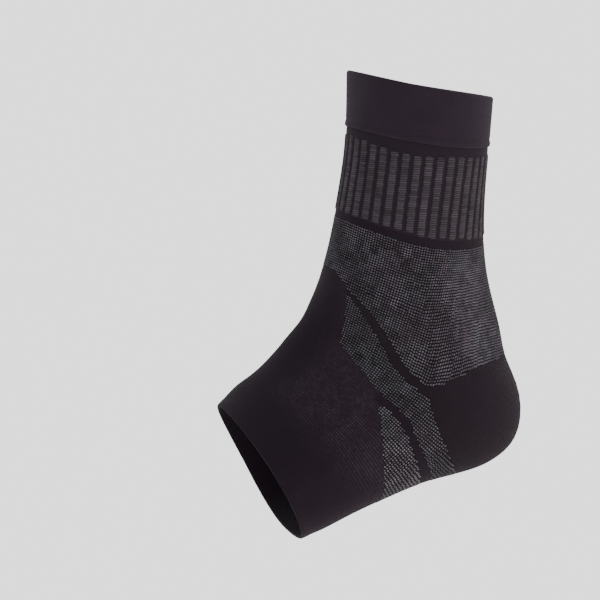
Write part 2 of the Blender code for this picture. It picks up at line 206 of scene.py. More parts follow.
# How much lower than that the ribs start, in rows of (share round from the front line, length)
RIB_STARTS = (
    (0.00, 0.0000), (0.10, 0.0004), (0.27, 0.0024), (0.37, 0.0030), (0.45, 0.0026), (0.55, 0.0014),
    (0.75, 0.0007), (1.00, 0.0006),
)

# Where the mesh is stretched most and carries a painted highlight: shares round from the front line,
# and section numbers
STRETCH_AND_HIGHLIGHT_SHARES = (0.56, 0.69, 0.76, 0.90)
STRETCH_AND_HIGHLIGHT_STATIONS = (2.6, 4.0, 6.0, 7.2)

# Where the forefoot's faint yarn shows: shares round from the front line, and section numbers
FAINT_SHARES = (0.10, 0.22)
FAINT_STATIONS = (14.7, 13.0)
FAINT_SLANT = 1.2          # how much the section numbers fall from the front line to the sole

# Stitches to a block that shares its brightness, in the patterned zones
BLOCK_WALES = 3
BLOCK_COURSES = 4

# How far floats stand out of line with the next wale's, in courses, and for how many courses they keep it
UNEVEN_FLOATS = 0.3
UNEVEN_COURSES = 5

# The knit's surface
GLOSS = 0.10
ROUGHNESS = 0.85
ROUGHNESS_SPREAD = 0.16
SHEEN_ROUGHNESS = 0.45
SHEEN_TINT = (0.80, 0.76, 0.82, 1)
FUZZ = 0.00035             # size of the fibres that stand off the yarn
PLAIN_BUMP = 0.00010       # depth of the fine relief that is only shaded
DOTTED_BUMP = 0.00012
RIB_BUMP = 0.00014

# The photograph's camera
CAMERA_PLACE = (-0.3032, -1.0574, 0.1950)
CAMERA_AIM = (-0.0584, 0.0016, 0.0255)
CAMERA_LENS = 128.65

# The studio: a floor that curves up into a pale cove, and the light on the sleeve
FLOOR_HEIGHT = -1.0
COVE_RADIUS = 8.0
COVE_HEIGHT = 9.0
COVE_GLOW = 2.02
ROOM_LIGHT = 0.95

# Lamps that face the sleeve: name, place, size, power in watts and colour
LAMPS = (
    ("key_softbox", (-1.1, -1.6, 1.9), 1.4, 6.0, (1.0, 1.0, 1.0)),
    ("side_softbox", (2.0, -0.3, 0.9), 1.4, 5.0, (1.0, 1.0, 1.0)),
    ("rear_softbox", (0.6, 1.9, 1.4), 1.4, 7.0, (1.0, 1.0, 1.0)),
    ("floor_bounce", (0.7, -0.9, -1.2), 1.2, 14.0, (1.0, 0.90, 0.84)),
)


def section_table():
    """One row a section, with the foot table's columns, lengths in metres and tilts in radians."""
    table = []
    for sizes, columns, rows in (
        (LEG_SIZES, LEG_COLUMNS, LEG_SECTIONS),
        (HEEL_SIZES, HEEL_COLUMNS, HEEL_SECTIONS),
        (FOOT_SIZES, FOOT_COLUMNS, FOOT_SECTIONS),
    ):
        for row in rows:
            values = dict.fromkeys(FOOT_COLUMNS, 0.0)
            values.update(zip(columns, row))
            for column, size in sizes.items():
                values[column] *= size
            values["tilt"] = math.radians(values["tilt"])
            table.append([values[column] for column in FOOT_COLUMNS])
    return np.array(table)


class Spline:
    """A natural cubic curve through rows of values, one row at each knot."""

    def __init__(self, knots, values):
        self.knots = np.asarray(knots, float)
        self.values = np.asarray(values, float)
        if self.values.ndim == 1:
            self.values = self.values[:, None]
        count = len(self.knots)
        step = np.diff(self.knots)
        matrix = np.eye(count)
        target = np.zeros_like(self.values)
        for i in range(1, count - 1):
            matrix[i, i - 1:i + 2] = step[i - 1], 2 * (step[i - 1] + step[i]), step[i]
            rise_after = (self.values[i + 1] - self.values[i]) / step[i]
            rise_before = (self.values[i] - self.values[i - 1]) / step[i - 1]
            target[i] = 6 * (rise_after - rise_before)
        self.bend = np.linalg.solve(matrix, target)

    def __call__(self, places):
        places = np.asarray(places, float)
        i = np.clip(np.searchsorted(self.knots, places) - 1, 0, len(self.knots) - 2)
        step = (self.knots[i + 1] - self.knots[i])[..., None]
        after = (places - self.knots[i])[..., None] / step
        before = 1 - after
        curve = (before ** 3 - before) * self.bend[i] + (after ** 3 - after) * self.bend[i + 1]
        return before * self.values[i] + after * self.values[i + 1] + curve * step ** 2 / 6


SECTIONS = section_table()
FORM = Spline(range(len(SECTIONS)), SECTIONS)
LAST = len(SECTIONS) - 1


def skin_points(stations, turns):
    """Points of the sleeve's outer face, for flat arrays of section numbers and turns."""
    outer = turns <= 1
    share = np.where(outer, turns, 2 - turns)
    side = np.where(outer, -1.0, 1.0)[..., None]
    values = np.moveaxis(FORM(stations)[..., None, :], -1, 0)
    up, back, tilt, front, rear, half, round_front, round_rear, ridge, lift, slant = values
    angle = np.linspace(0, math.pi, OUTLINE_STEPS)
    ahead, aside = np.cos(angle), np.sin(angle)
    power = np.where(ahead >= 0, 2 / round_front, 2 / round_rear)
    along = np.where(ahead >= 0, front, rear) * np.sign(ahead) * np.abs(ahead) ** power
    out = side * half * np.abs(aside) ** power
    out = out + ridge * half * np.clip(along / front, 0, 1)
    along = along + lift * half * np.clip(-along / rear, 0, 1) * (0.5 + 0.5 * out / half)
    step = np.hypot(np.diff(along), np.diff(out))
    length = np.concatenate([np.zeros(step.shape[:-1] + (1,)), np.cumsum(step, -1)], -1)
    wanted = share * length[..., -1]
    i = np.clip((length <= wanted[..., None]).sum(-1) - 1, 0, OUTLINE_STEPS - 2)[..., None]
    part = (wanted[..., None] - np.take_along_axis(length, i, -1)) / np.take_along_axis(step, i, -1)
    part = np.clip(part, 0, 1)

    def read(curve):
        return np.take_along_axis(curve, i, -1) * (1 - part) + np.take_along_axis(curve, i + 1, -1) * part

    along, out = read(along), read(out)
    x = back - along * np.cos(tilt) - slant * out
    z = up + along * np.sin(tilt)
    return np.stack([x[..., 0], out[..., 0], z[..., 0]], -1)


def skin(stations, turns):
    """Points of the sleeve's outer face at section numbers and turns."""
    stations, turns = np.broadcast_arrays(stations, np.mod(turns, 2))
    shape = stations.shape
    stations, turns = stations.ravel(), turns.ravel()
    parts = [
        skin_points(stations[start:start + CHUNK], turns[start:start + CHUNK])
        for start in range(0, stations.size, CHUNK)
    ]
    return np.concatenate(parts).reshape(shape + (3,))


def unit(vectors):
    return vectors / np.maximum(np.linalg.norm(vectors, axis=-1, keepdims=True), 1e-12)


def outward(stations, turns):
    """Unit normals of the sleeve's outer face."""
    down = skin(stations + NUDGE, turns) - skin(stations - NUDGE, turns)
    onward = skin(stations, turns + NUDGE) - skin(stations, turns - NUDGE)
    return unit(np.cross(down, onward))


def middle_lengths():
    """Length down the sleeve to each section, halfway between its front and its rear line."""
    stations = np.arange(LAST + 1.0)
    front = np.linalg.norm(np.diff(skin(stations, 0.0), axis=0), axis=1)
    rear = np.linalg.norm(np.diff(skin(stations, 1.0), axis=0), axis=1)
    return np.concatenate([[0], np.cumsum((front + rear) / 2)])


LENGTHS = middle_lengths()
TOE_RIM = LENGTHS[-1]


def row_stations(lengths, turns):
    """Section numbers of rows at lengths down the sleeve, which dip at its sides and fan round the heel."""
    bows = np.interp(lengths, EDGE_LENGTHS + (TOE_RIM,), EDGE_BOWS + (TOE_BOW,))
    knots, leads = np.array(REAR_LEADS).T
    share = np.minimum(np.mod(turns, 2), 2 - np.mod(turns, 2))
    fan = 1 - np.exp(-(np.maximum(share - FAN_START, 0) / FAN_SPREAD) ** FAN_POWER)
    reach = lengths + bows * np.sin(math.pi * turns) ** 2 + np.interp(lengths, knots, leads) * fan
    return np.interp(reach, LENGTHS, np.arange(LAST + 1.0))


def pattern_edge(rows, corner=None):
    """An edge through the rows of a pattern table, with a sharp corner at one turn or with none."""
    rows = np.array(rows)
    if corner is None:
        runs = [rows]
    else:
        runs = [rows[rows[:, 0] <= corner], rows[rows[:, 0] >= corner]]
    splines = [Spline(run[:, 0], run[:, 1]) for run in runs]

    def edge(share):
        if corner is None:
            return splines[0](share)[..., 0]
        return np.where(share <= corner, splines[0](share)[..., 0], splines[1](share)[..., 0])
    return edge


mesh_edge = pattern_edge(MESH_EDGE, HEEL_TURN)
strap_top = pattern_edge(STRAP_TOP, HEEL_TURN)
strap_foot = pattern_edge(STRAP_FOOT, HEEL_TURN)
arch_top = pattern_edge(ARCH_TOP)
arch_foot = pattern_edge(ARCH_FOOT)


def smooth(value, start, end):
    """0 at start and 1 at end, with a smooth rise between."""
    share = np.clip((value - start) / (end - start), 0, 1)
    return share * share * (3 - 2 * share)


def bump(value, middle, spread):
    """1 at the middle, falling to nothing on both sides."""
    return np.exp(-((value - middle) / spread) ** 2)


def between(value, marks):
    """Rises from the first mark to the second and falls from the third to the fourth."""
    return smooth(value, marks[0], marks[1]) * smooth(value, marks[3], marks[2])


def round_in(distance, radius):
    """How far a face draws in at a distance from an edge that is rounded to a radius."""
    inside = np.clip(1 - distance / radius, 0, 0.97)
    return radius * (1 - np.sqrt(1 - inside ** 2))


class Lattice:
    """A grid on the sleeve's outer face, closed on itself round the sleeve.

    wales[0] and wales[1] number each cell's first and second column in stitches, and courses number the
    rows. joined names, for each place, the column whose point it shares.
    """

    def __init__(self, lengths, courses, turns, wales, joined):
        self.lengths = lengths
        self.courses = courses
        self.turns = turns
        self.stations = row_stations(lengths[:, None], turns)
        self.points = skin(self.stations, turns)
        self.normals = outward(self.stations, turns)
        self.wales = wales
        self.joined = joined

    def every(self, step):
        """The same lattice with one row and one column in every step."""
        wales = self.wales[0][::step, ::step], self.wales[1][::step, step - 1::step]
        return Lattice(
            self.lengths[::step], self.courses[::step], self.turns[::step, ::step], wales,
            self.joined[::step, ::step] // step,
        )


def ring_lattice(lengths, courses, turns, wale_count):
    """A lattice with the same columns in every row."""
    rows = len(lengths)
    ends = np.append(turns[1:], turns[0] + 2)
    wales = [np.tile(part * wale_count / 2, (rows, 1)) for part in (turns, ends)]
    joined = np.tile(np.arange(len(turns)), (rows, 1))
    return Lattice(lengths, courses, np.tile(turns, (rows, 1)), wales, joined)


def walk(lengths, back):
    """Lengths from the front line along half of each row, on the outer side where back is positive."""
    share = np.linspace(0, 1, WALK_STEPS + 1)
    turns = share if back > 0 else 2 - share
    points = skin(row_stations(lengths[:, None], turns), turns)
    steps = np.linalg.norm(np.diff(points, axis=1), axis=2)
    return share, np.concatenate([np.zeros((len(lengths), 1)), np.cumsum(steps, 1)], 1)


def stitch_lattice(lengths, courses):
    """A lattice of equal stitches that starts on the front line and runs into the line down the back."""
    step = WALE / STEPS
    halves = [walk(lengths, side) for side in (1, -1)]
    widest = max(length[:, -1].max() for share, length in halves)
    count = STEPS * math.ceil(widest / WALE)
    turns, wales, clear = [], [], []
    for share, length in halves:
        rim = length[:, -1:]
        reach = np.arange(count + 1) * step
        free = reach < rim - 0.3 * step
        reach = np.where(free, reach, rim)
        turns.append(np.array([np.interp(row, along, share) for row, along in zip(reach, length)]))
        wales.append(reach / WALE)
        clear.append(free)
    outer, inner = turns[0], 2 - turns[1][:, ::-1]
    all_turns = np.concatenate([outer[:, :-1], inner[:, :-1]], 1)
    inner_wales = -wales[1][:, ::-1]
    first = np.concatenate([wales[0][:, :-1], inner_wales[:, :-1]], 1)
    second = np.concatenate([wales[0][:, 1:], inner_wales[:, 1:]], 1)
    own = np.concatenate([clear[0][:, :-1], clear[1][:, :0:-1]], 1)
    joined = np.where(own, np.arange(2 * count), count)
    return Lattice(lengths, courses, all_turns, (first, second), joined)


def drawn_in(lattice, cells):
    """Moves that draw the open edges of a zone in by half the gap between zones."""
    rows, columns = lattice.joined.shape
    padded = np.zeros((rows + 1, columns), bool)
    padded[1:rows] = cells
    above_right, below_right = padded[:-1], padded[1:]
    above_left, below_left = np.roll(above_right, 1, 1), np.roll(below_right, 1, 1)
    downward = np.sign(below_left * 1 + below_right - above_left - above_right)
    onward = np.sign(above_right * 1 + below_right - above_left - below_left)
    down = unit(np.gradient(lattice.points, axis=0))
    along = unit(np.roll(lattice.points, -1, 1) - np.roll(lattice.points, 1, 1))
    return (downward[..., None] * down + onward[..., None] * along) * ZONE_GAP / 2


def bake_places(rows, columns, cell_rows, cell_columns):
    """Places in a square, from the first to the last row and column of a zone's cells."""
    height = cell_rows.max() + 1 - cell_rows.min()
    width = cell_columns.max() + 1 - cell_columns.min()
    return np.stack([(columns - cell_columns.min()) / width, (rows - cell_rows.min()) / height], 1)


def on_strip(places, strip):
    """Moves places in a square onto a strip of the bake map."""
    low, high = strip
    return np.stack([places[..., 0] * 0.99 + 0.005, places[..., 1] * (high - low) + low], -1)


def add_knit(name, node, look, lattice, cells, proud, depth, marks=None):
    """Makes the closed shell of one zone from the marked cells of a lattice.

    Its outer face stands proud of the sleeve's skin and its inner face lies at a depth below the skin.
    marks are named numbers at each place of the lattice, for the material. The faces keep two maps: one
    in stitch numbers for the pattern, and one without overlap for baking.
    """
    rows, columns = lattice.joined.shape
    shift = drawn_in(lattice, cells)
    base = lattice.points + shift
    shape = (rows, columns)
    outer = base + lattice.normals * np.broadcast_to(proud, shape)[..., None]
    inner = base - lattice.normals * np.broadcast_to(depth, shape)[..., None]
    points = np.concatenate([outer.reshape(-1, 3), inner.reshape(-1, 3)])
    number = np.arange(rows)[:, None] * columns + lattice.joined
    row, column = np.nonzero(cells)
    ring = ((0, 0), (0, 1), (1, 1), (1, 0))
    corners = [number[row + down, (column + on) % columns] for down, on in ring]
    places = [
        np.stack([lattice.wales[on][row + down, column], lattice.courses[row + down]], 1)
        for down, on in ring
    ]
    spread = [bake_places(row + down, column + on, row, column) for down, on in ring]
    layer = rows * columns
    quads = [np.stack(corners[::-1], 1), np.stack(corners, 1) + layer]
    maps = [np.stack(places[::-1], 1), np.stack(places, 1)]
    bakes = [on_strip(np.stack(spread[::-1], 1), OUTER_STRIP), on_strip(np.stack(spread, 1), INNER_STRIP)]
    filled = np.zeros((rows + 1, columns), bool)
    filled[1:rows] = cells
    beside = (
        filled[row, column], filled[row + 1, (column + 1) % columns],
        filled[row + 2, column], filled[row + 1, (column - 1) % columns],
    )
    for side, taken in enumerate(beside):
        start, end = side, (side + 1) % 4
        edge = np.stack([corners[start], corners[end], corners[end] + layer, corners[start] + layer], 1)
        edge_map = np.stack([places[start], places[end], places[end], places[start]], 1)
        edge_places = np.zeros((len(row), 4, 2))
        edge_places[:, :, 0] = spread[0][:, :1]
        edge_places[:, 1:3, 0] += 1 / columns
        edge_places[:, 2:, 1] = 1
        quads.append(edge[~taken])
        maps.append(edge_map[~taken])
        bakes.append(on_strip(edge_places[~taken], EDGE_STRIP))
    quads, maps, bakes = np.concatenate(quads), np.concatenate(maps), np.concatenate(bakes)
    distinct = quads != np.roll(quads, 1, 1)
    sound = distinct.sum(1) >= 3
    quads, maps, bakes, distinct = quads[sound], maps[sound], bakes[sound], distinct[sound]
    used, corner = np.unique(quads[distinct], return_inverse=True)
    starts = np.concatenate([[0], np.cumsum(distinct.sum(1))[:-1]])

    mesh = bpy.data.meshes.new(name)
    mesh.vertices.add(len(used))
    mesh.vertices.foreach_set("co", points[used].ravel())
    mesh.loops.add(len(corner))
    mesh.loops.foreach_set("vertex_index", corner.ravel())
    mesh.polygons.add(len(starts))
    mesh.polygons.foreach_set("loop_start", starts)
    mesh.update(calc_edges=True)
    mesh.uv_layers.new(name="stitches").data.foreach_set("uv", maps[distinct].ravel())
    mesh.uv_layers.new(name="OFBake").data.foreach_set("uv", bakes[distinct].ravel())
    for mark, values in (marks or {}).items():
        values = np.broadcast_to(values, shape).ravel()
        mesh.attributes.new(mark, "FLOAT", "POINT").data.foreach_set("value", np.tile(values, 2)[used])
    mesh.shade_smooth()
    mesh.set_sharp_from_angle(angle=math.radians(50))
    mesh.materials.append(look)
    piece = bpy.data.objects.new(name, mesh)
    bpy.context.scene.collection.objects.link(piece)
    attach(piece, "root")
    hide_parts(node)
    return piece


class Look:
    """A material's shader nodes, joined by short calls."""

    def __init__(self, name):
        self.material = bpy.data.materials.new(name)
        self.material.use_nodes = True
        self.tree = self.material.node_tree
        self.shader = self.tree.nodes["Principled BSDF"]
        stitches = self.tree.nodes.new("ShaderNodeUVMap")
        stitches.uv_map = "stitches"
        split = self.tree.nodes.new("ShaderNodeSeparateXYZ")
        self.tree.links.new(stitches.outputs["UV"], split.inputs[0])
        self.wale, self.course = split.outputs[0], split.outputs[1]
        self.places = self.tree.nodes.new("ShaderNodeTexCoord").outputs["Object"]

    def join(self, value, socket):
        if isinstance(value, bpy.types.NodeSocket):
            self.tree.links.new(value, socket)
        else:
            socket.default_value = value

    def math(self, operation, *values):
        node = self.tree.nodes.new("ShaderNodeMath")
        node.operation = operation
        for value, socket in zip(values, node.inputs):
            self.join(value, socket)
        return node.outputs[0]

    def total(self, *values):
        result = values[0]
        for value in values[1:]:
            result = self.math("ADD", result, value)
        return result

    def product(self, *values):
        result = values[0]
        for value in values[1:]:
            result = self.math("MULTIPLY", result, value)
        return result

    def fade(self, value, start, end):
        """0 at start and 1 at end, with a smooth rise or fall between."""
        node = self.tree.nodes.new("ShaderNodeMapRange")
        node.interpolation_type = "SMOOTHSTEP"
        for name, setting in (("Value", value), ("From Min", start), ("From Max", end)):
            self.join(setting, node.inputs[name])
        return node.outputs["Result"]

    def off_middle(self, value):
        """Distance of a stitch number from the nearest stitch's middle, up to a half."""
        return self.math("ABSOLUTE", self.math("SUBTRACT", self.math("FRACT", value), 0.5))

    def chance(self, first, second, seed=0.0):
        """A random share for each pair of whole numbers."""
        join = self.tree.nodes.new("ShaderNodeCombineXYZ")
        for value, socket in zip((self.math("FLOOR", first), self.math("FLOOR", second), seed), join.inputs):
            self.join(value, socket)
        node = self.tree.nodes.new("ShaderNodeTexWhiteNoise")
        self.tree.links.new(join.outputs[0], node.inputs["Vector"])
        return node.outputs["Value"]

    def noise(self, size, detail=2.0, seed=0.0):
        """A soft random share that changes over a size in metres."""
        shift = self.tree.nodes.new("ShaderNodeVectorMath")
        shift.operation = "ADD"
        self.tree.links.new(self.places, shift.inputs[0])
        shift.inputs[1].default_value = (seed, seed, seed)
        node = self.tree.nodes.new("ShaderNodeTexNoise")
        node.inputs["Scale"].default_value = 1 / size
        node.inputs["Detail"].default_value = detail
        self.tree.links.new(shift.outputs[0], node.inputs["Vector"])
        return node.outputs["Fac"]

    def mark(self, name):
        node = self.tree.nodes.new("ShaderNodeAttribute")
        node.attribute_name = name
        return node.outputs["Fac"]

    def mix(self, share, first, second):
        node = self.tree.nodes.new("ShaderNodeMix")
        node.data_type = "RGBA"
        self.join(share, node.inputs["Factor"])
        self.join(first, node.inputs[6])
        self.join(second, node.inputs[7])
        return node.outputs[2]

    def shade(self, colour, brightness):
        """The colour times a brightness that changes over the surface."""
        node = self.tree.nodes.new("ShaderNodeVectorMath")
        node.operation = "SCALE"
        self.join(colour, node.inputs[0])
        self.join(brightness, node.inputs["Scale"])
        return node.outputs[0]

    def finish(self, colour, height, depth, sheen):
        """Sets the shader's colour, its bump (a height share times a depth in metres) and its sheen."""
        self.join(colour, self.shader.inputs["Base Color"])
        bump = self.tree.nodes.new("ShaderNodeBump")
        bump.inputs["Strength"].default_value = 1.0
        bump.inputs["Distance"].default_value = depth
        self.join(height, bump.inputs["Height"])
        self.tree.links.new(bump.outputs["Normal"], self.shader.inputs["Normal"])
        fibre = self.noise(0.0004, 3.0, seed=3.0)
        rough = self.total(self.product(fibre, ROUGHNESS_SPREAD), ROUGHNESS - ROUGHNESS_SPREAD / 2)
        self.join(rough, self.shader.inputs["Roughness"])
        self.shader.inputs["Specular IOR Level"].default_value = GLOSS
        self.shader.inputs["Sheen Weight"].default_value = sheen
        self.shader.inputs["Sheen Roughness"].default_value = SHEEN_ROUGHNESS
        self.shader.inputs["Sheen Tint"].default_value = SHEEN_TINT
        return self.material


def loops(look, wale, course):
    """Height share of plain knit: a V of yarn in every stitch."""
    leg = look.product(look.off_middle(wale), 2.0)
    rise = look.off_middle(look.total(course, look.product(leg, 0.55)))
    across = look.fade(leg, 1.0, 0.35)
    return look.product(look.fade(rise, 0.5, 0.12), look.total(look.product(across, 0.7), 0.3))


def plain_look(name, ground, fine_courses=2.0, faint=None, sheen=0.07):
    """Smooth dark knit, with a number of fine courses to each course of the lattice.

    faint is a paler yarn that shows only where the zone is marked for it.
    """
    look = Look(name)
    wale, course = look.product(look.wale, 2.0), look.product(look.course, fine_courses)
    height = loops(look, wale, course)
    cloud = look.noise(0.011, 2.0, seed=1.0)
    thread = look.chance(wale, course)
    # The loops' tops are painted lighter than the hollows between them: painted shade, beside the bump
    bright = look.total(
        0.62, look.product(height, 0.38), look.product(cloud, 0.30), look.product(thread, 0.10),
    )
    colour = look.shade(ground, bright)
    if faint is not None:
        spot_wide = look.fade(look.off_middle(look.wale), 0.70, 0.24)
        spot_high = look.fade(look.off_middle(look.course), 0.46, 0.14)
        patch = look.fade(look.noise(0.010, 2.0, seed=5.0), 0.25, 0.70)
        strength = look.product(look.total(0.45, look.product(patch, 0.55)), look.mark("faint"))
        spot = look.product(spot_wide, spot_high, strength)
        own = look.chance(look.wale, look.course, seed=8.0)
        colour = look.mix(spot, colour, look.shade(faint, look.total(0.62, look.product(own, 0.5))))
    return look.finish(colour, height, PLAIN_BUMP, sheen)


def dotted_look(name, ground, yarn, wide=0.31, high=0.27, clouds=0.35):
    """Dark mesh knit with a short pale float of yarn in every stitch, brighter in some blocks of stitches.

    Where the zone is marked as stretched, the floats grow longer and join into streaks, and the dark ground
    between them is painted paler: a painted highlight on the back of the ankle.
    """
    look = Look(name)
    stretch_and_highlight = look.mark("stretch_and_highlight")
    run = look.product(look.course, 1 / UNEVEN_COURSES)
    uneven = look.product(look.chance(look.wale, run, seed=12.0), UNEVEN_FLOATS)
    off_wale = look.off_middle(look.wale)
    off_course = look.off_middle(look.total(look.course, uneven, -UNEVEN_FLOATS / 2))
    half = look.total(wide, look.product(stretch_and_highlight, 0.17))
    across = look.fade(look.math("DIVIDE", off_wale, half), 1.25, 0.75)
    upward = look.fade(look.product(off_course, 1 / high), 1.25, 0.75)
    spot = look.product(across, upward)
    chance = look.chance(look.wale, look.course)
    column = look.product(look.wale, 1 / BLOCK_WALES)
    shift = look.product(look.chance(column, 0.0), BLOCK_COURSES)
    row = look.product(look.total(look.course, shift), 1 / BLOCK_COURSES)
    block = look.chance(column, row, seed=9.0)
    cloud = look.fade(look.noise(0.007, 2.5, seed=2.0), 0.33, 0.67)
    wash = look.noise(0.028, 1.0, seed=7.0)
    bright = look.total(
        0.44 - 0.5 * clouds, look.product(chance, 0.50), look.product(cloud, clouds),
        look.product(block, block, 0.55), look.product(wash, 0.30),
    )
    fuzz = look.noise(FUZZ, seed=4.0)
    # In the stretched zone the dark ground is painted brighter: a painted highlight on the back of the ankle
    dark = look.shade(ground, look.total(0.6, look.product(fuzz, 0.8), look.product(stretch_and_highlight, 1.2)))
    cool = look.fade(look.noise(0.016, seed=11.0), 0.48, 0.66)
    pale = look.mix(cool, look.shade(yarn, bright), look.shade(COOL_CAST, look.product(bright, yarn[1])))
    height = look.total(spot, look.product(fuzz, 0.15))
    return look.finish(look.mix(spot, dark, pale), height, DOTTED_BUMP, sheen=0.06)


def rib_look(name, ground, yarn):
    """Ribs of pale yarn laid in courses on dark knit; a rib's middle lies on every whole wale number."""
    look = Look(name)
    rib = look.math("FLOOR", look.total(look.wale, 0.5))
    off = look.math("ABSOLUTE", look.math("SUBTRACT", look.wale, rib))
    ragged = look.chance(rib, look.course, seed=2.0)
    half = look.total(0.265, look.product(ragged, 0.085))
    across = look.fade(look.math("SUBTRACT", off, half), 0.05, -0.05)
    lean = look.product(look.math("SUBTRACT", look.wale, rib), 0.8)
    line = look.fade(look.off_middle(look.total(look.course, lean)), 0.50, 0.16)
    inside = look.product(across, look.fade(look.mark("rib"), 0.25, 0.75))
    chance = look.chance(rib, look.course, seed=1.0)
    cloud = look.noise(0.009, 2.0, seed=6.0)
    fuzz = look.noise(FUZZ, seed=4.0)
    bright = look.product(
        look.total(0.38, look.product(line, 0.62)),
        look.total(0.42, look.product(chance, 0.50), look.product(cloud, 0.70)),
    )
    dark = look.shade(ground, look.total(0.6, look.product(fuzz, 0.8)))
    pale = look.shade(yarn, bright)
    height = look.total(look.product(inside, line), look.product(fuzz, 0.12))
    return look.finish(look.mix(inside, dark, pale), height, RIB_BUMP, sheen=0.06)


# Colours of the yarns, and of the dark ground behind them
BLACK_KNIT = (0.0158, 0.0094, 0.0150)
FOOT_BLACK = (0.0142, 0.0086, 0.0142)
CUFF_BLACK = (0.0255, 0.0160, 0.0255)
MESH_GROUND = (0.0066, 0.0040, 0.0070)
COOL_CAST = (1.02, 1.03, 1.14)    # the pale yarn's colour in its cooler patches
MESH_YARN = (0.090, 0.079, 0.093)
STRAP_YARN = (0.080, 0.073, 0.084)
ARCH_YARN = (0.110, 0.098, 0.112)
RIB_GROUND = (0.0190, 0.0130, 0.0190)
RIB_YARN = (0.057, 0.048, 0.057)
FAINT_YARN = (0.039, 0.0285, 0.038)

cuff_look = plain_look("cuff_knit", CUFF_BLACK, sheen=0.08)
band_look = plain_look("plain_band_knit", BLACK_KNIT, sheen=0.05)
heel_look = plain_look("heel_knit", BLACK_KNIT, fine_courses=12.0, sheen=0.07)
foot_look = plain_look("forefoot_knit", FOOT_BLACK, faint=FAINT_YARN, sheen=0.07)
mesh_look = dotted_look("mesh_knit", MESH_GROUND, MESH_YARN)
strap_look = dotted_look("strap_knit", MESH_GROUND, STRAP_YARN, clouds=0.3)
arch_look = dotted_look("arch_knit", MESH_GROUND, ARCH_YARN, clouds=0.2)
ribbed_look = rib_look("rib_knit", RIB_GROUND, RIB_YARN)


def all_cells(lattice):
    return np.ones((lattice.joined.shape[0] - 1, lattice.joined.shape[1]), bool)


def add_top_cuff():
    """The double cuff, with a rounded top rim and a soft fold at its lower edge."""
    wall = CUFF_WALL / 2
    angles = np.linspace(0.12, math.pi / 2, RIM_ROWS)
    rim_rows = wall * (1 - np.cos(angles))
    fold_rows = np.sort(CUFF_FOOT - FOLD_ROUND * (1 - np.cos(angles)))
    middle_rows = np.linspace(rim_rows[-1], fold_rows[0], 52)[1:-1]
    lengths = np.concatenate([[0.0], rim_rows, middle_rows, fold_rows, [CUFF_FOOT]])
    turns = np.arange(8 * RIB_COUNT) / (4 * RIB_COUNT)
    lattice = ring_lattice(lengths, lengths / RIB_COURSE, turns, RIB_COUNT * WALES_PER_RIB)
    from_foot = CUFF_FOOT - lengths
    swell = FOLD_SWELL * bump(from_foot, FOLD_SWELL_HEIGHT, FOLD_SWELL_SPREAD)
    seam = SEAM_DEPTH * bump(from_foot, SEAM_HEIGHT, SEAM_SPREAD)
    proud = CUFF_PROUD + swell - seam - round_in(from_foot, FOLD_ROUND) - round_in(lengths, wall)
    depth = CUFF_WALL - CUFF_PROUD - round_in(lengths, wall)
    add_knit(
        "cuff_shell", "top_cuff", cuff_look, lattice, all_cells(lattice),
        proud[:, None], depth[:, None],
    )


def add_ribbed_band():
    """Plain margin below the cuff, then the ribs, with a line of relief at every course."""
    margin_rows = np.linspace(CUFF_FOOT, RIB_FIRST_ROW, 6)[:-1]
    courses = round((RIB_FOOT - RIB_FIRST_ROW) / RIB_COURSE)
    rib_rows = np.linspace(RIB_FIRST_ROW, RIB_FOOT, 2 * courses + 1)
    lengths = np.concatenate([margin_rows, rib_rows])
    numbers = (lengths - RIB_FIRST_ROW) / (RIB_FOOT - RIB_FIRST_ROW) * courses
    place, height = np.array(RIB_COLUMNS).T
    ribs = np.arange(RIB_COUNT)[:, None]
    turns = ((ribs + place) * 2 / RIB_COUNT).ravel()
    lattice = ring_lattice(lengths, numbers, turns, RIB_COUNT)
    rib_share = np.minimum(ribs, RIB_COUNT - ribs) * 2 / RIB_COUNT
    shares, starts = np.array(RIB_STARTS).T
    uneven = np.random.default_rng(4).uniform(-RIB_UNEVEN, RIB_UNEVEN, (2, RIB_COUNT, 1))
    corner = RIB_CORNER * (place / RIB_HALF) ** 2
    start = (RIB_FIRST_ROW + np.interp(rib_share, shares, starts) + uneven[0] + corner).ravel()
    end = (RIB_FOOT - RIB_UNEVEN + uneven[1] - corner).ravel()
    rows = lengths[:, None]
    run = smooth(rows, start, start + RIB_END) * smooth(rows, end, end - RIB_END)
    crest = np.tile(height, RIB_COUNT) * run
    course_line = 0.5 - 0.5 * np.cos(2 * math.pi * numbers)[:, None]
    crease = CREASE_DEPTH * bump(rows, CUFF_FOOT, CREASE_SPREAD)
    proud = crest * RIB_PROUD * (1 - COURSE_DENT + COURSE_DENT * course_line) - crease
    add_knit(
        "rib_shell", "ribbed_band", ribbed_look, lattice, all_cells(lattice),
        proud, KNIT_WALL, {"rib": run},
    )


def add_plain_band():
    lengths = np.linspace(RIB_FOOT, BAND_FOOT, 6)
    turns = np.arange(8 * RIB_COUNT) / (4 * RIB_COUNT)
    lattice = ring_lattice(lengths, lengths / RIB_COURSE, turns, RIB_COUNT * WALES_PER_RIB)
    add_knit(
        "band_shell", "plain_band", band_look, lattice, all_cells(lattice), 0.0, KNIT_WALL,
    )


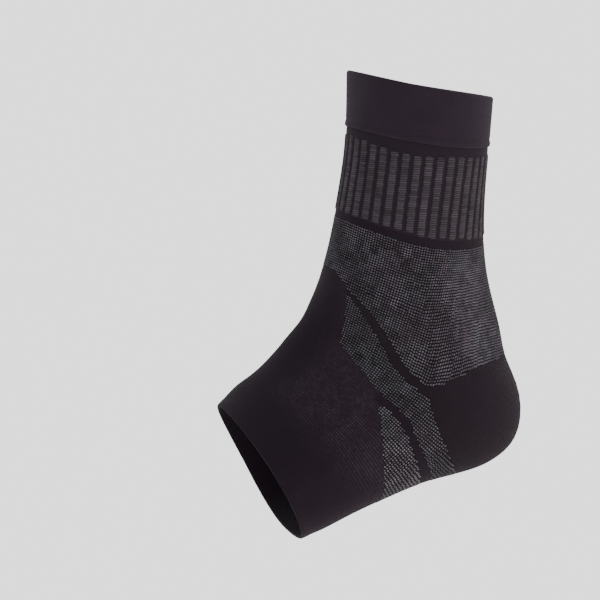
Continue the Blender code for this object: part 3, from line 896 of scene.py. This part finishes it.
def add_foot_zones():
    """Cuts the mesh, heel pocket, strap, arch panel and forefoot from one lattice, stitch by stitch."""
    wall = KNIT_WALL / 2
    plain_end = TOE_RIM - wall
    down = np.linspace(BAND_FOOT, plain_end, LENGTH_STEPS + 1)
    heights = np.interp((down[1:] + down[:-1]) / 2, *np.array(COURSE_HEIGHTS).T)
    reached = np.concatenate([[0], np.cumsum(np.diff(down) / heights)])
    count = round(reached[-1])
    numbers = np.arange(STEPS * count + 1) / STEPS
    regular = np.interp(numbers * reached[-1] / count, reached, down)
    angles = np.linspace(math.pi / 2, 0, RIM_ROWS + 1)[1:]
    rim_rows = TOE_RIM - wall * (1 - np.cos(angles))
    lengths = np.concatenate([regular, rim_rows])
    courses = np.concatenate([numbers, count + (rim_rows - plain_end) / heights[-1]])
    fine = stitch_lattice(lengths, courses)
    plain = fine.every(STEPS)

    turns = np.concatenate([plain.turns, np.full((len(plain.turns), 1), 2.0)], 1)
    stations = np.concatenate([plain.stations, plain.stations[:, :1]], 1)

    def middle(values):
        return (values[:-1, :-1] + values[1:, :-1] + values[:-1, 1:] + values[1:, 1:]) / 4

    share = middle(np.minimum(turns, 2 - turns))
    station = middle(stations)
    mesh = station < mesh_edge(share)
    heel = ~mesh & (station < strap_top(share)) & (share > STRAP_TURN)
    strap = ~mesh & ~heel & (station < strap_foot(share)) & (share > STRAP_TURN)
    arch = (station >= arch_top(share)) & (station < arch_foot(share)) & (share > ARCH_TURN)
    forefoot = ~(mesh | heel | strap | arch)

    def stitch_cells(cells):
        return np.repeat(np.repeat(cells, STEPS, 0), STEPS, 1)

    crown_wale = 0.5 - 0.5 * np.cos(2 * math.pi * fine.wales[0])
    crown_course = 0.5 - 0.5 * np.cos(2 * math.pi * fine.courses)[:, None]
    relief = STITCH_RELIEF * (crown_wale + crown_course) / 2
    fine_share = np.minimum(fine.turns, 2 - fine.turns)
    # Round the back of the ankle the mesh is stretched, and its dark ground carries a painted highlight
    stretch_and_highlight = between(fine_share, STRETCH_AND_HIGHLIGHT_SHARES) * between(fine.stations, STRETCH_AND_HIGHLIGHT_STATIONS)
    for name, node, slot, look, cells, height in (
        ("mesh_shell", "ankle_mesh", "mesh_knit", mesh_look, mesh, relief),
        ("strap_shell", "stirrup_strap", "strap_knit", strap_look, strap, relief * 1.2),
        ("arch_shell", "arch_panel", "strap_knit", arch_look, arch, relief * 1.4),
    ):
        add_knit(name, node, look, fine, stitch_cells(cells), height, KNIT_WALL, {"stretch_and_highlight": stretch_and_highlight})

    add_knit("heel_shell", "heel_cup", heel_look, fine, stitch_cells(heel), 0.0, HEEL_WALL)

    to_rim = TOE_RIM - plain.lengths
    welt = TOE_WELT_PROUD * smooth(to_rim, TOE_WELT, TOE_WELT - 0.0008)
    proud = (welt - round_in(to_rim, wall))[:, None]
    depth = (KNIT_WALL - round_in(to_rim, wall))[:, None]
    plain_share = np.minimum(plain.turns, 2 - plain.turns)
    faint = smooth(plain_share, *FAINT_SHARES)
    faint = faint * smooth(plain.stations + FAINT_SLANT * plain_share, *FAINT_STATIONS)
    channel = (plain.stations < arch_top(plain_share) + 0.1) & (plain_share > ARCH_TURN - 0.04)
    faint[channel] = 0
    add_knit(
        "forefoot_shell", "forefoot_panel", foot_look, plain, forefoot, proud, depth,
        {"faint": faint},
    )


def add_camera():
    data = bpy.data.cameras.new("photo_camera")
    data.lens = CAMERA_LENS
    data.sensor_width = 36.0
    data.clip_end = 100.0
    camera = bpy.data.objects.new("photo_camera", data)
    camera.location = CAMERA_PLACE
    camera.rotation_mode = "QUATERNION"
    camera.rotation_quaternion = (Vector(CAMERA_AIM) - Vector(CAMERA_PLACE)).to_track_quat("-Z", "Y")
    bpy.context.scene.collection.objects.link(camera)
    bpy.context.scene.camera = camera


def add_floor():
    """A pale floor that curves up into a cove all round. It gives the sleeve no light of its own."""
    rows, columns = 24, 64
    points, faces = [], []
    for row in range(rows + 1):
        lift = math.pi * (row / rows - 0.5)
        radius = COVE_RADIUS * math.sqrt(max(math.cos(lift), 0.0))
        rise = math.copysign(math.sqrt(abs(math.sin(lift))), lift)
        height = FLOOR_HEIGHT + COVE_HEIGHT * (0.5 + 0.5 * rise)
        for column in range(columns):
            angle = 2 * math.pi * column / columns
            points.append((radius * math.cos(angle), radius * math.sin(angle), height))
    for row in range(rows):
        for column in range(columns):
            start, after = row * columns, (column + 1) % columns
            faces.append((start + column, start + after, start + columns + after, start + columns + column))
    mesh = bpy.data.meshes.new("pale_floor")
    mesh.from_pydata(points, [], faces)
    look = bpy.data.materials.new("pale_floor")
    look.use_nodes = True
    shader = look.node_tree.nodes["Principled BSDF"]
    shader.inputs["Base Color"].default_value = (0, 0, 0, 1)
    shader.inputs["Roughness"].default_value = 1.0
    shader.inputs["Specular IOR Level"].default_value = 0.0
    shader.inputs["Emission Color"].default_value = (1, 1, 1, 1)
    shader.inputs["Emission Strength"].default_value = COVE_GLOW
    mesh.materials.append(look)
    floor = bpy.data.objects.new("pale_floor", mesh)
    floor.visible_diffuse = False
    floor.visible_glossy = False
    floor.visible_transmission = False
    floor.visible_shadow = False
    bpy.context.scene.collection.objects.link(floor)


def add_light():
    """Soft room light and four wide lamps; the last stands for the light that a pale floor throws back."""
    world = bpy.data.worlds.new("studio")
    world.use_nodes = True
    world.node_tree.nodes["Background"].inputs["Color"].default_value = (1, 1, 1, 1)
    world.node_tree.nodes["Background"].inputs["Strength"].default_value = ROOM_LIGHT
    bpy.context.scene.world = world
    for name, place, size, power, colour in LAMPS:
        data = bpy.data.lights.new(name, "AREA")
        data.shape = "DISK"
        data.size = size
        data.energy = power
        data.color = colour
        lamp = bpy.data.objects.new(name, data)
        lamp.location = place
        lamp.rotation_mode = "QUATERNION"
        lamp.rotation_quaternion = (-Vector(place)).to_track_quat("-Z", "Y")
        lamp.visible_camera = False
        bpy.context.scene.collection.objects.link(lamp)


add_camera()
add_light()
add_top_cuff()
add_ribbed_band()
add_plain_band()
add_foot_zones()
add_floor()
